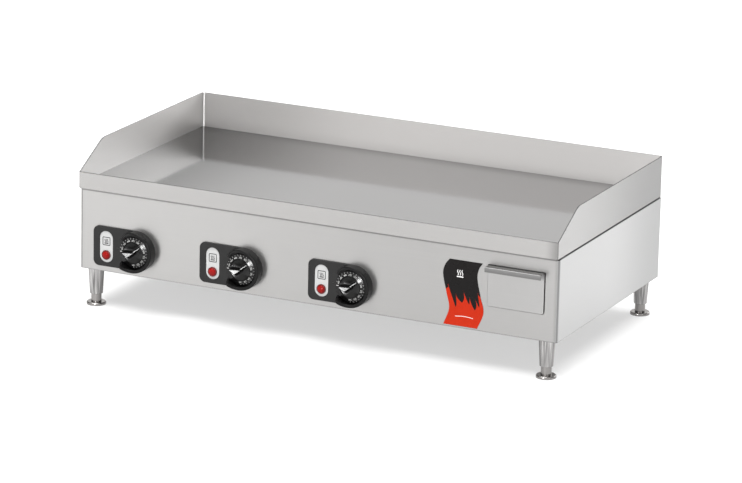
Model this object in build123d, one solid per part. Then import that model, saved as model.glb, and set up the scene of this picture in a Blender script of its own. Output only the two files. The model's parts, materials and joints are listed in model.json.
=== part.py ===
"""Three-zone electric countertop flat top griddle: the whole assembly, one STEP file for each sub-part.

Millimetres, +Z up, +X to the operator's right. The drawing frame has y = 0 on the apron's front face
and z = 0 on the counter; save() moves every sub-part so that the origin is the middle of the base.
"""
import os
from math import radians, tan

from build123d import *

# ---- driving dimensions -------------------------------------------------------------------------
WIDTH = 914.0                  # 36 inch class
DEPTH = 464.0                  # apron face to the back of the cabinet
BODY_BOTTOM = 67.0
BODY_TOP = 212.0
PLATE_BOTTOM = 213.0
PLATE_TOP = 223.0
APRON_TOP = 243.7
SPLASH_BOTTOM = 214.0
SPLASH_TOP = 287.0
SPLASH_INSET = 0.6             # the splash stands this far inside the cabinet's side
SPLASH_SHEET = 2.0
CABINET_SHEET = 1.2
PANEL_SETBACK = 6.5            # front panel behind the apron's face
CHAMFER_END = 82.8             # where the side splash's slope meets its level top

ZONE_PITCH = 300.0             # heating zones
KNOB_PITCH = 210.5             # control groups
KNOB_X = -343.0                # first knob
KNOB_Z = 113.2
ZONES = (0, 1, 2)

LEG_X = 433.0
LEG_FRONT = 22.0
LEG_REAR = 442.0

DRAWER_LEFT = 328.0
DRAWER_RIGHT = 431.0
DRAWER_BOTTOM = 114.0
DRAWER_TOP = 186.0
DRAWER_LENGTH = 380.0

# ---- derived places -----------------------------------------------------------------------------
HALF = WIDTH / 2
SPLASH_OUT = HALF - SPLASH_INSET
SPLASH_IN = SPLASH_OUT - SPLASH_SHEET
PANEL_FRONT = PANEL_SETBACK
PANEL_BACK = PANEL_FRONT + CABINET_SHEET
FLANGE_EDGE = 444.0            # inner edge of the cabinet's top flanges
SIDE_REACH = 438.0             # inner edge of the side panels' other flanges
CORNER_SEAM = HALF - 4.2       # front panel's end, where the side panel's bend begins
TROUGH_FRONT = 22.0
TROUGH_BACK = 54.0
TROUGH_FLOOR = 190.0
TROUGH_END = 440.0
PLATE_FRONT = 52.0
PLATE_BACK = DEPTH - SPLASH_SHEET
FLOOR_LOW = BODY_BOTTOM + CABINET_SHEET + 0.2
FLOOR_HIGH = FLOOR_LOW + CABINET_SHEET
REAR_OUT = DEPTH - CABINET_SHEET - 0.2
REAR_IN = REAR_OUT - CABINET_SHEET
INNER_HALF = HALF - 4.1        # rear and bottom panels stop at the side panels' bends
PAN_LOW = 176.0
PAN_X = 436.0
PAN_Y = (72.0, 446.0)
DRAIN_X = (DRAWER_LEFT + DRAWER_RIGHT) / 2
DRAIN_Y = (TROUGH_FRONT + TROUGH_BACK) / 2

# Control group: heights above the panel, and the bezel's outline about its knob's axis.
BEZEL_RADIUS = 36.2
BEZEL_LEFT = 86.0
BEZEL_CORNER = 10.6
BEZEL_THICK = 3.5
BEZEL_FRONT = PANEL_FRONT - BEZEL_THICK
GUARD_INNER = 30.0
LABEL_X = -60.6
LABEL_Z = -0.4
LABEL_SIZE = (26.0, 57.0)
LABEL_DEPTH = 2.3
LAMP_Z = -15.3
LENS_RADIUS = 8.7
SKIRT_RADIUS = 28.4
SKIRT_HEIGHT = 14.5
HUB_RADIUS = 19.4
HUB_HEIGHT = 18.5
GRIP_HEIGHT = 29.0
GRIP_ANGLE = 37.0              # the grip points up and to the right at the off position
SHAFT_RADIUS = 3.0
SCREW_SPREAD = 14.0
CASE_BACK = 42.0               # back of a thermostat's case

# Heating element: a tube laid in five loops, as (x from the zone's middle, y).
ELEMENT_RADIUS = 4.0
ELEMENT_Z = PLATE_BOTTOM - ELEMENT_RADIUS - 0.1
ELEMENT_START = -110.0
ELEMENT_END = -78.0
ELEMENT_LOOPS = ((-110, 425), (110, 425), (110, 100), (62, 100), (62, 385), (14, 385), (14, 100),
                 (-34, 100), (-34, 385), (-78, 385))
TERMINAL_Y = 85.0
TERMINAL_Z = 150.0
BULB_X = -56.0
BULB_RADIUS = 3.0
CLAMP_Y = (170.0, 335.0)
STUD_X = (-124.0, -10.0, 124.0)
LONG_STUDS = STUD_X[:2]

GLAND_X = 250.0
GLAND_Z = 105.0
GLAND_REAR = 479.0
GLAND_BORE = 7.0

ORIGIN_Y = (PANEL_FRONT - GRIP_HEIGHT + GLAND_REAR) / 2

knob_x = [KNOB_X + KNOB_PITCH * i for i in ZONES]
zone_x = [ZONE_PITCH * (i - 1) for i in ZONES]
leg_places = {
    "front_left": (-LEG_X, LEG_FRONT),
    "front_right": (LEG_X, LEG_FRONT),
    "rear_left": (-LEG_X, LEG_REAR),
    "rear_right": (LEG_X, LEG_REAR),
}


# ---- helpers ------------------------------------------------------------------------------------
def block(x, y, z):
    """A box from its (low, high) span along each axis."""
    spans = (x, y, z)
    size = [high - low for low, high in spans]
    middle = [(low + high) / 2 for low, high in spans]
    return Pos(*middle) * Box(*size)


def rod_y(x, z, radius, low, high):
    return Pos(x, (low + high) / 2, z) * Rot(90, 0, 0) * Cylinder(radius, high - low)


def rod_z(x, y, radius, low, high):
    return Pos(x, y, (low + high) / 2) * Cylinder(radius, high - low)


def prism_x(outline, low, high):
    """Extrudes a (y, z) outline along X."""
    return extrude(Pos(low, 0, 0) * make_face(Plane.YZ * outline), high - low, dir=(1, 0, 0))


def prism_y(sketch, low, high):
    """Extrudes an (x, z) sketch along Y."""
    return extrude(Pos(0, low, 0) * (Plane.XZ * sketch), high - low, dir=(0, 1, 0))


def hexagon(across_flats):
    return RegularPolygon(across_flats / 2, 6, major_radius=False)


def tube_along(points, radius, bend):
    """A round tube along straight runs joined by arcs."""
    path = FilletPolyline(*points, radius=bend)
    section = Plane(origin=path @ 0, z_dir=path % 0) * Circle(radius)
    return sweep(section, path)


def joined(shapes):
    """Separate solids of one kind, kept as one sub-part."""
    return Compound(children=[solid for shape in shapes for solid in shape.solids()])


def save(name, shape):
    """Writes one sub-part, moved so that the origin is the middle of the base."""
    export_step(Pos(0, -ORIGIN_Y, 0) * shape, os.path.join("parts", name + ".step"))


# ---- cooking top --------------------------------------------------------------------------------
def griddle_plate():
    plate = block((-SPLASH_IN, SPLASH_IN), (PLATE_FRONT, PLATE_BACK), (PLATE_BOTTOM, PLATE_TOP))
    uprights = plate.edges().filter_by(Axis.Z).sort_by(Axis.Y)
    plate = fillet(uprights[2:], 3.4)
    front_edge = plate.edges().filter_by(Axis.X).sort_by(Axis.Y)[:2].sort_by(Axis.Z)[-1]
    return fillet(front_edge, 3)


def front_apron():
    """The polished lip across the front, with rounded lower corners and rounded ends."""
    height = APRON_TOP - PLATE_BOTTOM
    lip = Pos(0, PLATE_BOTTOM + height / 2) * Rectangle(2 * SPLASH_OUT, height)
    lip = fillet(lip.vertices().sort_by(Axis.Y)[:2], 3.2)
    lip = prism_y(lip, 0, SPLASH_SHEET)
    face = lip.faces().sort_by(Axis.Y)[0]
    return fillet(face.edges(), 0.7)


def grease_trough():
    """A level shelf behind the apron, then a channel whose floor falls to the drain on the right."""
    sheet = 1.5
    fall = 4.0
    top = PLATE_BOTTOM + sheet
    low = TROUGH_FLOOR - fall
    inner_end = TROUGH_END - sheet
    inner_y = (TROUGH_FRONT + sheet, PLATE_FRONT - sheet)
    inner_floor = TROUGH_FLOOR + sheet
    spout_bottom = 174.0
    shelf = block((-SPLASH_IN, SPLASH_IN), (SPLASH_SHEET, inner_y[0]), (PLATE_BOTTOM, top))
    upstand = block((-SPLASH_IN, SPLASH_IN), (SPLASH_SHEET, SPLASH_SHEET + sheet),
                    (PLATE_BOTTOM, APRON_TOP - 6))
    channel = block((-TROUGH_END, TROUGH_END), (TROUGH_FRONT, PLATE_FRONT), (low, top))
    channel -= block((-inner_end, inner_end), inner_y, (inner_floor, top + 1))
    slope = Polyline((-inner_end, inner_floor + 0.1), (DRAIN_X + 20, inner_floor + 0.1),
                     (DRAIN_X + 20, low + sheet), close=True)
    channel -= prism_y(make_face(slope), *inner_y)
    under = Polyline((-TROUGH_END - 1, low - 1), (-TROUGH_END - 1, TROUGH_FLOOR),
                     (-TROUGH_END + 18, TROUGH_FLOOR), (DRAIN_X, low), (DRAIN_X, low - 1), close=True)
    channel -= prism_y(make_face(under), TROUGH_FRONT - 1, PLATE_FRONT + 1)
    spout = rod_z(DRAIN_X, DRAIN_Y - 1, 12, spout_bottom, low + 0.5)
    bore = rod_z(DRAIN_X, DRAIN_Y - 1, 10.8, spout_bottom - 1, inner_floor)
    return shelf + upstand + channel + spout - bore


def side_splash():
    """Right-hand side guard: sloped at the front, bent round at the back corner."""
    bend = 5.0
    outer = block((SPLASH_OUT - bend, SPLASH_OUT), (SPLASH_SHEET, DEPTH), (SPLASH_BOTTOM, SPLASH_TOP))
    outer = fillet(outer.edges().filter_by(Axis.Z).group_by(Axis.Y)[-1].sort_by(Axis.X)[-1], bend - 0.01)
    inner = block((SPLASH_OUT - 2 * bend, SPLASH_IN), (0, DEPTH - SPLASH_SHEET), (SPLASH_BOTTOM, SPLASH_TOP))
    corner = inner.edges().filter_by(Axis.Z).group_by(Axis.Y)[-1].sort_by(Axis.X)[-1]
    inner = fillet(corner, bend - SPLASH_SHEET)
    sheet = outer - inner
    above = Polyline((0, APRON_TOP), (SPLASH_SHEET, APRON_TOP),
                     (CHAMFER_END, SPLASH_TOP), (DEPTH + 1, SPLASH_TOP), (DEPTH + 1, SPLASH_BOTTOM - 1),
                     (0, SPLASH_BOTTOM - 1), close=True)
    profile = make_face(above)
    knee = profile.vertices().sort_by_distance((CHAMFER_END, SPLASH_TOP, 0))[0]
    profile = fillet(knee, 40)
    return sheet & extrude(Pos(SPLASH_OUT - 3 * bend, 0, 0) * (Plane.YZ * profile), 4 * bend, dir=(1, 0, 0))


def back_splash():
    end = SPLASH_OUT - 5.0
    return block((-end, end), (PLATE_BACK, DEPTH), (SPLASH_BOTTOM, SPLASH_TOP))


def plate_gasket():
    """Heat-proof sealing strip between the top and the cabinet's flanges."""
    z = (BODY_TOP, PLATE_BOTTOM)
    ring = block((-451, 451), (8.5, 459), z)
    return ring - block((-FLANGE_EDGE - 0.5, FLANGE_EDGE + 0.5), (19, 450), z)


# ---- cabinet ------------------------------------------------------------------------------------
def leg_holes(radius):
    return [rod_z(x, y, radius, BODY_BOTTOM - 1, BODY_BOTTOM + 14) for x, y in leg_places.values()]


def side_panel():
    """Right-hand panel: bent at the front corner, and flanged at the top, bottom and back."""
    reach = SIDE_REACH
    body = block((reach, HALF), (PANEL_FRONT, DEPTH), (BODY_BOTTOM, BODY_TOP))
    outer_uprights = body.edges().filter_by(Axis.Z).group_by(Axis.X)[-1]
    body = fillet(outer_uprights, 4.0)
    top_rim = body.faces().sort_by(Axis.Z)[-1].edges().filter_by(lambda e: e.center().X > HALF - 6)
    body = fillet(top_rim, 1.6)
    hollow = block((reach - 1, HALF - CABINET_SHEET), (PANEL_BACK, DEPTH - CABINET_SHEET),
                   (BODY_BOTTOM + CABINET_SHEET, BODY_TOP - CABINET_SHEET))
    hollow = fillet(hollow.edges().filter_by(Axis.Z).group_by(Axis.X)[-1], 2.8)
    panel = body - hollow
    panel -= block((reach - 1, CORNER_SEAM + 0.3), (PANEL_FRONT - 1, PANEL_BACK),
                   (BODY_BOTTOM - 1, BODY_TOP + 1))
    panel -= block((reach - 1, FLANGE_EDGE), (PANEL_FRONT, DEPTH - CABINET_SHEET),
                   (BODY_TOP - CABINET_SHEET - 0.1, BODY_TOP + 1))
    return panel - leg_holes(5.3) - screw_holes()


def front_panel():
    """The fascia, with openings for the three control groups and the grease drawer."""
    face = block((-CORNER_SEAM, CORNER_SEAM), (PANEL_FRONT, PANEL_BACK), (BODY_BOTTOM, BODY_TOP))
    top_reach = FLANGE_EDGE - 0.5
    low_reach = SIDE_REACH - 0.2
    face += block((-top_reach, top_reach), (PANEL_BACK, 20), (BODY_TOP - CABINET_SHEET, BODY_TOP))
    face += block((-low_reach, low_reach), (PANEL_BACK, 24), (BODY_BOTTOM, BODY_BOTTOM + CABINET_SHEET))
    opening_low = DRAWER_BOTTOM - 0.9
    opening_high = DRAWER_TOP + 1.2
    opening = Pos((DRAWER_LEFT - 0.8 + DRAWER_RIGHT + 1.9) / 2, (opening_low + opening_high) / 2)
    opening = opening * Rectangle(DRAWER_RIGHT - DRAWER_LEFT + 2.7, opening_high - opening_low)
    opening = fillet(opening.vertices().group_by(Axis.Y)[0], 4.6)
    face -= prism_y(opening, PANEL_FRONT - 1, PANEL_BACK + 1)
    for x in knob_x:
        face -= rod_y(x, KNOB_Z, 5.2, PANEL_FRONT - 1, PANEL_BACK + 1)
        face -= rod_y(x + LABEL_X, KNOB_Z + LAMP_Z, 5.7, PANEL_FRONT - 1, PANEL_BACK + 1)
        for side in (-1, 1):
            face -= rod_y(x + side * SCREW_SPREAD, KNOB_Z, 2.1, PANEL_FRONT - 1, PANEL_BACK + 1)
        for peg_x, peg_z in PEGS:
            face -= rod_y(x + peg_x, KNOB_Z + peg_z, 2.6, PANEL_FRONT - 1, PANEL_BACK + 1)
    return face - leg_holes(5.3)


def slots(columns, rows, pitch_x, pitch_z, width, height):
    """A grid of rounded slots about the sketch's origin."""
    slot = SlotOverall(width, height)
    grid = [Pos((i - (columns - 1) / 2) * pitch_x, (j - (rows - 1) / 2) * pitch_z) * slot
            for i in range(columns) for j in range(rows)]
    return Sketch() + grid


def rear_panel():
    flange_low = BODY_TOP - CABINET_SHEET - 0.2
    flange_reach = FLANGE_EDGE - 0.5
    panel = block((-INNER_HALF, INNER_HALF), (REAR_IN, REAR_OUT), (FLOOR_HIGH + 0.2, flange_low))
    panel += block((-flange_reach, flange_reach), (449, REAR_OUT), (flange_low, BODY_TOP))
    vents = Pos(-60, 128) * slots(8, 3, 52, 16, 40, 5)
    panel -= prism_y(vents, REAR_IN - 1, REAR_OUT + 1)
    panel -= rod_y(GLAND_X, GLAND_Z, 10.2, REAR_IN - 1, REAR_OUT + 1)
    return panel - screw_holes()


def bottom_panel():
    panel = block((-INNER_HALF, INNER_HALF), (PANEL_BACK + 0.2, REAR_OUT), (FLOOR_LOW, FLOOR_HIGH))
    vents = Pos(-60, 240) * slots(9, 5, 60, 40, 44, 6)
    panel -= extrude(Pos(0, 0, FLOOR_LOW - 1) * vents, 4)
    return panel - leg_holes(5.3)


def heat_shield():
    """Upright sheet that keeps the hot zone's heat from the controls, stepped up over the drawer."""
    y = (58, 59)
    wall = block((-436, 318), y, (140, 211)) + block((318, 436), y, (189, 211))
    return wall + block((-436, 318), (y[1], 70), (140, 141))


def pan_openings(radius_gain):
    """Holes where element ends, capillaries and long studs pass down through the insulation."""
    holes = []
    for x in zone_x:
        for offset in (ELEMENT_START, ELEMENT_END):
            holes.append(rod_z(x + offset, TERMINAL_Y, ELEMENT_RADIUS + radius_gain, PAN_LOW - 1, 200))
        holes.append(rod_z(x + BULB_X, 125, 1 + radius_gain, PAN_LOW - 1, 200))
        for offset in LONG_STUDS:
            for y in CLAMP_Y:
                holes.append(rod_z(x + offset, y, 3 + radius_gain, PAN_LOW - 1, 200))
    return holes


def insulation_pan():
    tray = block((-PAN_X, PAN_X), PAN_Y, (PAN_LOW, 212.4))
    tray -= block((-PAN_X + 1, PAN_X - 1), (PAN_Y[0] + 1, PAN_Y[1] - 1), (PAN_LOW + 1, 213))
    return tray - pan_openings(0.6)


def insulation_blanket():
    pad = block((-PAN_X + 1.2, PAN_X - 1.2), (PAN_Y[0] + 1.2, PAN_Y[1] - 1.2), (PAN_LOW + 1, 194))
    return pad - pan_openings(1.0)


# ---- heating ------------------------------------------------------------------------------------
def heating_element(zone):
    x = zone_x[zone]
    points = [(x + ELEMENT_START, TERMINAL_Y, TERMINAL_Z), (x + ELEMENT_START, TERMINAL_Y, ELEMENT_Z)]
    points += [(x + dx, y, ELEMENT_Z) for dx, y in ELEMENT_LOOPS]
    points += [(x + ELEMENT_END, TERMINAL_Y, ELEMENT_Z), (x + ELEMENT_END, TERMINAL_Y, TERMINAL_Z)]
    return tube_along(points, ELEMENT_RADIUS, 14)


def element_terminals():
    """Ceramic bush and stud on each element end."""
    ends = [(x + offset, TERMINAL_Y) for x in zone_x for offset in (ELEMENT_START, ELEMENT_END)]
    bush_low = TERMINAL_Z - 6
    return joined(rod_z(x, y, 3.2, bush_low, TERMINAL_Z) + rod_z(x, y, 2, bush_low - 5, bush_low)
                  for x, y in ends)


def element_clamp_bars():
    bars = []
    for x in zone_x:
        for y in CLAMP_Y:
            bar = block((x - 132, x + 132), (y - 9, y + 9), (200.5, ELEMENT_Z - ELEMENT_RADIUS - 0.1))
            bars.append(bar - [rod_z(x + offset, y, 3.2, 199, 206) for offset in STUD_X])
    return joined(bars)


def stud_places():
    return [(x + offset, y, offset in LONG_STUDS) for x in zone_x for offset in STUD_X for y in CLAMP_Y]


def plate_studs():
    return joined(rod_z(x, y, 3, 170 if long else 195, PLATE_BOTTOM) for x, y, long in stud_places())


def nut(x, y, low, high, across_flats, bore):
    body = extrude(Pos(x, y, low) * hexagon(across_flats), high - low)
    return body - rod_z(x, y, bore, low - 1, high + 1)


def stud_nuts():
    nuts = [nut(x, y, 196, 200.4, 10, 3.05) for x, y, long in stud_places()]
    nuts += [nut(x, y, 171, PAN_LOW, 10, 3.05) for x, y, long in stud_places() if long]
    return joined(nuts)


# ---- controls -----------------------------------------------------------------------------------
PEGS = ((-79, 29), (-79, -29), (-20, 30), (-20, -30))


def guard():
    """The raised wall around the knob, about the knob's axis: low at ten o'clock, highest at seven."""
    wall = Circle(BEZEL_RADIUS) - Circle(GUARD_INNER)
    gap = make_face(Polyline((0, 0), (-60, 60 * tan(radians(30))), (-60, -60 * tan(radians(36))), close=True))
    wall = extrude(Plane.XZ * (wall - gap), GRIP_HEIGHT)
    base = BEZEL_THICK - 1
    rim = SKIRT_HEIGHT + 4.5
    upper_curve = Spline((-31.6, BEZEL_THICK), (-15, 12.6), (0, 17.8), (40, rim))
    upper = upper_curve + Polyline(upper_curve @ 1, (40, base), (-31.6, base), upper_curve @ 0)
    lower_curve = Spline((-21.4, 28), (0, 20.6), (40, rim))
    end_curve = ThreePointArc((-29.6, base), (-24.2, 13), (-21.4, 28))
    lower = lower_curve + Polyline(lower_curve @ 1, (40, base), (-29.6, base)) + end_curve
    height_plane = Plane(origin=(0, 0, 0), x_dir=(1, 0, 0), z_dir=(0, 0, -1))
    upper = extrude(height_plane * make_face(upper), 40, dir=(0, 0, 1))
    lower = extrude(height_plane * make_face(lower), 40, dir=(0, 0, -1))
    return wall & (upper + lower)


def bezel(zone):
    """Black moulded plate with a recess for the label and the knob's guard."""
    outline = Pos(-BEZEL_LEFT / 2, 0) * Rectangle(BEZEL_LEFT, 2 * BEZEL_RADIUS) + Circle(BEZEL_RADIUS)
    outline = fillet(outline.vertices().group_by(Axis.X)[0], BEZEL_CORNER)
    plate = extrude(Plane.XZ * outline, BEZEL_THICK)
    plate = fillet(plate.faces().sort_by(Axis.Y)[0].edges(), 1.0)
    plate += guard()
    recess = Plane.XZ * (Pos(LABEL_X, LABEL_Z) * SlotOverall(LABEL_SIZE[1], LABEL_SIZE[0], rotation=90))
    plate -= extrude(Pos(0, -BEZEL_THICK - 1, 0) * recess, LABEL_DEPTH + 1, dir=(0, 1, 0))
    plate -= rod_y(0, 0, 18, -BEZEL_THICK - 1, 1)
    plate -= rod_y(LABEL_X, LAMP_Z, 5.6, -BEZEL_THICK - 1, 1)
    pegs = [rod_y(x, z, 2.4, -0.5, 3.0) for x, z in PEGS]
    return Pos(knob_x[zone], PANEL_FRONT, KNOB_Z) * (plate + pegs)


def indicator_labels():
    """White pill-shaped labels in the bezels' recesses, each with a hole for its pilot lamp."""
    face = BEZEL_FRONT + LABEL_DEPTH - 0.6
    labels = []
    pill = SlotOverall(LABEL_SIZE[1] - 0.2, LABEL_SIZE[0] - 0.2, rotation=90)
    for x in knob_x:
        label = prism_y(Pos(x + LABEL_X, KNOB_Z + LABEL_Z) * pill, face, face + 0.6)
        labels.append(label - rod_y(x + LABEL_X, KNOB_Z + LAMP_Z, 5.6, face - 1, face + 1))
    return joined(labels)


def pilot_lenses():
    face = BEZEL_FRONT + LABEL_DEPTH - 0.6
    radius = LENS_RADIUS
    collar = 2.6
    lenses = []
    for x in knob_x:
        lens = rod_y(0, 0, radius, collar, face) + rod_y(0, 0, 5.5, face, PANEL_BACK + 0.3)
        dome = Pos(0, collar, 0) * scale(Sphere(radius), (1, 0.38, 1)) & block((-9, 9), (-9, collar), (-9, 9))
        lenses.append(Pos(x + LABEL_X, 0, KNOB_Z + LAMP_Z) * (lens + dome))
    return joined(lenses)


def pilot_lamp_bodies():
    """Neon lamp holders behind the panel, each with two tags."""
    bodies = []
    for x in knob_x:
        lamp = rod_y(0, 0, 7, PANEL_BACK + 0.3, 28)
        tags = [block((s - 0.4, s + 0.4), (28, 35), (-2, 2)) for s in (-3, 3)]
        bodies.append(Pos(x + LABEL_X, 0, KNOB_Z + LAMP_Z) * (lamp + tags))
    return joined(bodies)


def knob(zone):
    """Skirted knob: dial skirt, low hub and a tapering grip, bored for the thermostat's shaft."""
    back = PANEL_FRONT - BEZEL_THICK - 1.5
    face = PANEL_FRONT - SKIRT_HEIGHT
    skirt = rod_y(0, 0, SKIRT_RADIUS, face, back)
    skirt = fillet(skirt.edges().sort_by(Axis.Y)[0], 1.0)
    skirt -= rod_y(0, 0, SKIRT_RADIUS - 2, face + 2.5, back + 1) - rod_y(0, 0, 8, face, back)
    hub = rod_y(0, 0, HUB_RADIUS, PANEL_FRONT - HUB_HEIGHT, face + 1)
    hub = fillet(hub.edges().sort_by(Axis.Y)[0], 2.5)
    tail = HUB_RADIUS - 0.4
    side = Polyline((-tail, 12), (-tail, 25), (-15, GRIP_HEIGHT), (-4, 28), (17, 21), (tail, HUB_HEIGHT - 1),
                    (tail, 12), close=True)
    plan = Polyline((-tail, -8.5), (-tail, 8.5), (0, 3.2), (tail, 1.6), (tail, -1.6), (0, -3.2), close=True)
    side = extrude(Plane.XY * make_face(side), 20, both=True)
    plan = extrude(Plane.XZ * make_face(plan), 60, both=True)
    grip = Pos(0, PANEL_FRONT, 0) * mirror(side, Plane.XZ) & plan
    grip = grip & rod_y(0, 0, HUB_RADIUS - 0.2, -60, 60)
    grip = Rot(0, -GRIP_ANGLE, 0) * grip
    bore = shaft_solid(PANEL_FRONT - 17, 40)
    return Pos(knob_x[zone], 0, KNOB_Z) * (skirt + hub + grip - bore)


def shaft_solid(low, high):
    """The D-shaped shaft about the knob's axis: flatted only where the knob holds it."""
    round_part = rod_y(0, 0, SHAFT_RADIUS, low, high)
    return round_part - block((-5, 5), (low - 1, PANEL_FRONT - 5.5), (1.6, 5))


def thermostat_shaft(zone):
    return Pos(knob_x[zone], 0, KNOB_Z) * shaft_solid(PANEL_FRONT - 17, 29)


def thermostat(zone):
    """Capillary thermostat: cased switch with a bushed nose through the panel and two tags."""
    case = block((-20, 20), (PANEL_BACK + 0.3, CASE_BACK), (-22, 22))
    case = fillet(case.edges().filter_by(Axis.Y), 3)
    nose = rod_y(0, 0, 5, PANEL_FRONT - 3.5, PANEL_BACK + 0.5)
    tags = [block((x - 3, x + 3), (CASE_BACK, CASE_BACK + 5), (8, 8.8)) for x in (-12, 0)]
    body = case + nose + tags - rod_y(0, 0, SHAFT_RADIUS + 0.05, 0, 30)
    for side in (-1, 1):
        body -= rod_y(side * SCREW_SPREAD, 0, 1.75, 0, 16)
    return Pos(knob_x[zone], 0, KNOB_Z) * body


def capillary_tubes():
    """Sensing bulb under the plate and its thin tube down to the thermostat."""
    tubes = []
    z = PLATE_BOTTOM - BULB_RADIUS - 0.2
    low = 130.0
    for x, knob_at in zip(zone_x, knob_x):
        bulb_x = x + BULB_X
        bulb = Pos(bulb_x, 195, z) * Rot(90, 0, 0) * Cylinder(BULB_RADIUS, 90)
        nose_x = knob_at + 12
        points = [(bulb_x, 151, z), (bulb_x, 125, z), (bulb_x, 125, low)]
        points += [(nose_x, 60, low), (nose_x, CASE_BACK + 0.2, low)]
        tubes.append(bulb + tube_along(points, 1, 8))
    return joined(tubes)


# ---- electrical ---------------------------------------------------------------------------------
BLOCK_X = (220.0, 300.0)
BLOCK_Y = (400.0, 430.0)
BLOCK_TOP = 92.0


def terminal_block():
    body = block(BLOCK_X, BLOCK_Y, (FLOOR_HIGH, BLOCK_TOP))
    for i in range(5):
        x = BLOCK_X[0] + 10 + 15 * i
        body -= rod_z(x, BLOCK_Y[0] + 15, 3.5, BLOCK_TOP - 9, BLOCK_TOP + 1)
    return body


def ground_lug():
    x = 200.0
    y = 440.0
    radius = 2.5
    tag_low = FLOOR_HIGH + 5
    stud = rod_z(x, y, radius, FLOOR_HIGH, FLOOR_HIGH + 16)
    tag = block((x - 6, x + 14), (y - 5, y + 5), (tag_low, tag_low + 1.2))
    tag -= rod_z(x, y, radius, tag_low - 1, tag_low + 3)
    lower_nut = nut(x, y, FLOOR_HIGH, FLOOR_HIGH + 4, 8, radius)
    return joined([stud, tag, lower_nut, Pos(0, 0, 7) * lower_nut])


def wiring_harness():
    """Leads from thermostats to elements and terminal block, and two supply leads to the cord inlet."""
    wire = 1.8
    bend = 4.5
    case = CASE_BACK + 0.2
    front = BLOCK_Y[0] - 0.2
    stud = TERMINAL_Z - 11.2
    wires = []
    for i in ZONES:
        left = knob_x[i] - 8
        start = zone_x[i] + ELEMENT_START
        z = 100
        wires.append([(left, case, z), (left, 66, z), (start, TERMINAL_Y, z), (start, TERMINAL_Y, stud)])
        end = zone_x[i] + ELEMENT_END
        across_y = 150 + 10 * i
        x = 230 + 15 * i
        z = 80 + 6 * i
        wires.append([(end, TERMINAL_Y, stud), (end, TERMINAL_Y, z), (end, across_y, z),
                      (x, across_y, z), (x, front, z)])
        right = knob_x[i] + 8
        across_y = 190 + 10 * i
        x = 272 + 10 * i
        z = 110 + 6 * i
        wires.append([(right, case, z), (right, across_y, z), (x, across_y, z),
                      (x, front - 15, z), (x, front - 15, 84), (x, front, 84)])
    back = BLOCK_Y[1] + 0.2
    for x in (GLAND_X - 4, GLAND_X + 4):
        wires.append([(x, 454, GLAND_Z), (x, 444, GLAND_Z), (x, 444, 82), (x, back, 82)])
    return joined([tube_along(points, wire, bend) for points in wires])


def cable_gland():
    """Outer body and dome nut of the cord inlet; its bore is the inlet a supply cord passes through."""
    hex_body = prism_y(Pos(GLAND_X, GLAND_Z) * hexagon(27), REAR_OUT, REAR_OUT + 5)
    thread = rod_y(GLAND_X, GLAND_Z, 10, 454, REAR_OUT + 1)
    dome = rod_y(GLAND_X, GLAND_Z, 12.5, REAR_OUT + 5, GLAND_REAR)
    dome = fillet(dome.edges().sort_by(Axis.Y)[-1], 3)
    return hex_body + thread + dome - rod_y(GLAND_X, GLAND_Z, GLAND_BORE, 450, GLAND_REAR + 1)


def gland_locknut():
    ring = prism_y(Pos(GLAND_X, GLAND_Z) * hexagon(27), REAR_IN - 4, REAR_IN)
    return ring - rod_y(GLAND_X, GLAND_Z, 10.03, 450, 470)


# ---- legs ---------------------------------------------------------------------------------------
LEG_TOP_RADIUS = 14.5
LEG_TIP_RADIUS = 11.7
LEG_TIP = 20.0
SLEEVE_RADIUS = 9.2
FOOT_DISC = 5.0


def leg(x, y):
    """Tapered tubular leg with a threaded spigot on top and a bore for its levelling foot."""
    height = BODY_BOTTOM - LEG_TIP
    cone = Pos(x, y, LEG_TIP + height / 2) * Cone(LEG_TIP_RADIUS, LEG_TOP_RADIUS, height)
    cone = fillet(cone.edges().filter_by(GeomType.CIRCLE).sort_by(Axis.Z)[0], 0.8)
    cone += rod_z(x, y, 5, BODY_BOTTOM - 1, 84)
    return cone - rod_z(x, y, SLEEVE_RADIUS + 0.06, LEG_TIP - 1, 61)


def levelling_foot(x, y):
    disc = rod_z(x, y, 17.5, 0, FOOT_DISC)
    disc = fillet(disc.edges().filter_by(GeomType.CIRCLE).sort_by(Axis.Z)[-1], 2.2)
    sleeve = rod_z(x, y, SLEEVE_RADIUS, FOOT_DISC - 1, 45)
    return disc + sleeve


def leg_mounting_plates():
    """A stiffening plate and a nut over each leg's spigot, inside the cabinet."""
    pieces = []
    for x, y in leg_places.values():
        inward = -1 if x > 0 else 1
        plate = block((x - 16, x + 16), (y - 13, y + 13), (FLOOR_HIGH, FLOOR_HIGH + 3))
        pieces.append(Pos(inward, 0, 0) * plate - rod_z(x, y, 5.3, 60, 90))
        pieces.append(nut(x, y, FLOOR_HIGH + 3, FLOOR_HIGH + 10, 17, 5.05))
    return joined(pieces)


# ---- grease drawer ------------------------------------------------------------------------------
TRAY_LEFT = DRAWER_LEFT + 3
TRAY_RIGHT = DRAWER_RIGHT - 3
TRAY_TOP = 170.0
DRAWER_FACE = PANEL_FRONT - 1.2
DRAWER_SHEET = 1.5


def drawer_pan():
    y = (DRAWER_FACE + DRAWER_SHEET, DRAWER_FACE + DRAWER_SHEET + DRAWER_LENGTH)
    tray = block((TRAY_LEFT, TRAY_RIGHT), y, (DRAWER_BOTTOM, TRAY_TOP))
    tray = fillet(tray.edges().filter_by(Axis.Y).group_by(Axis.Z)[0], 4)
    well = block((TRAY_LEFT + 1, TRAY_RIGHT - 1), (y[0] + 1, y[1] - 1), (DRAWER_BOTTOM + 1, TRAY_TOP + 1))
    well = fillet(well.edges().filter_by(Axis.Y).group_by(Axis.Z)[0], 3)
    return tray - well


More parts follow.
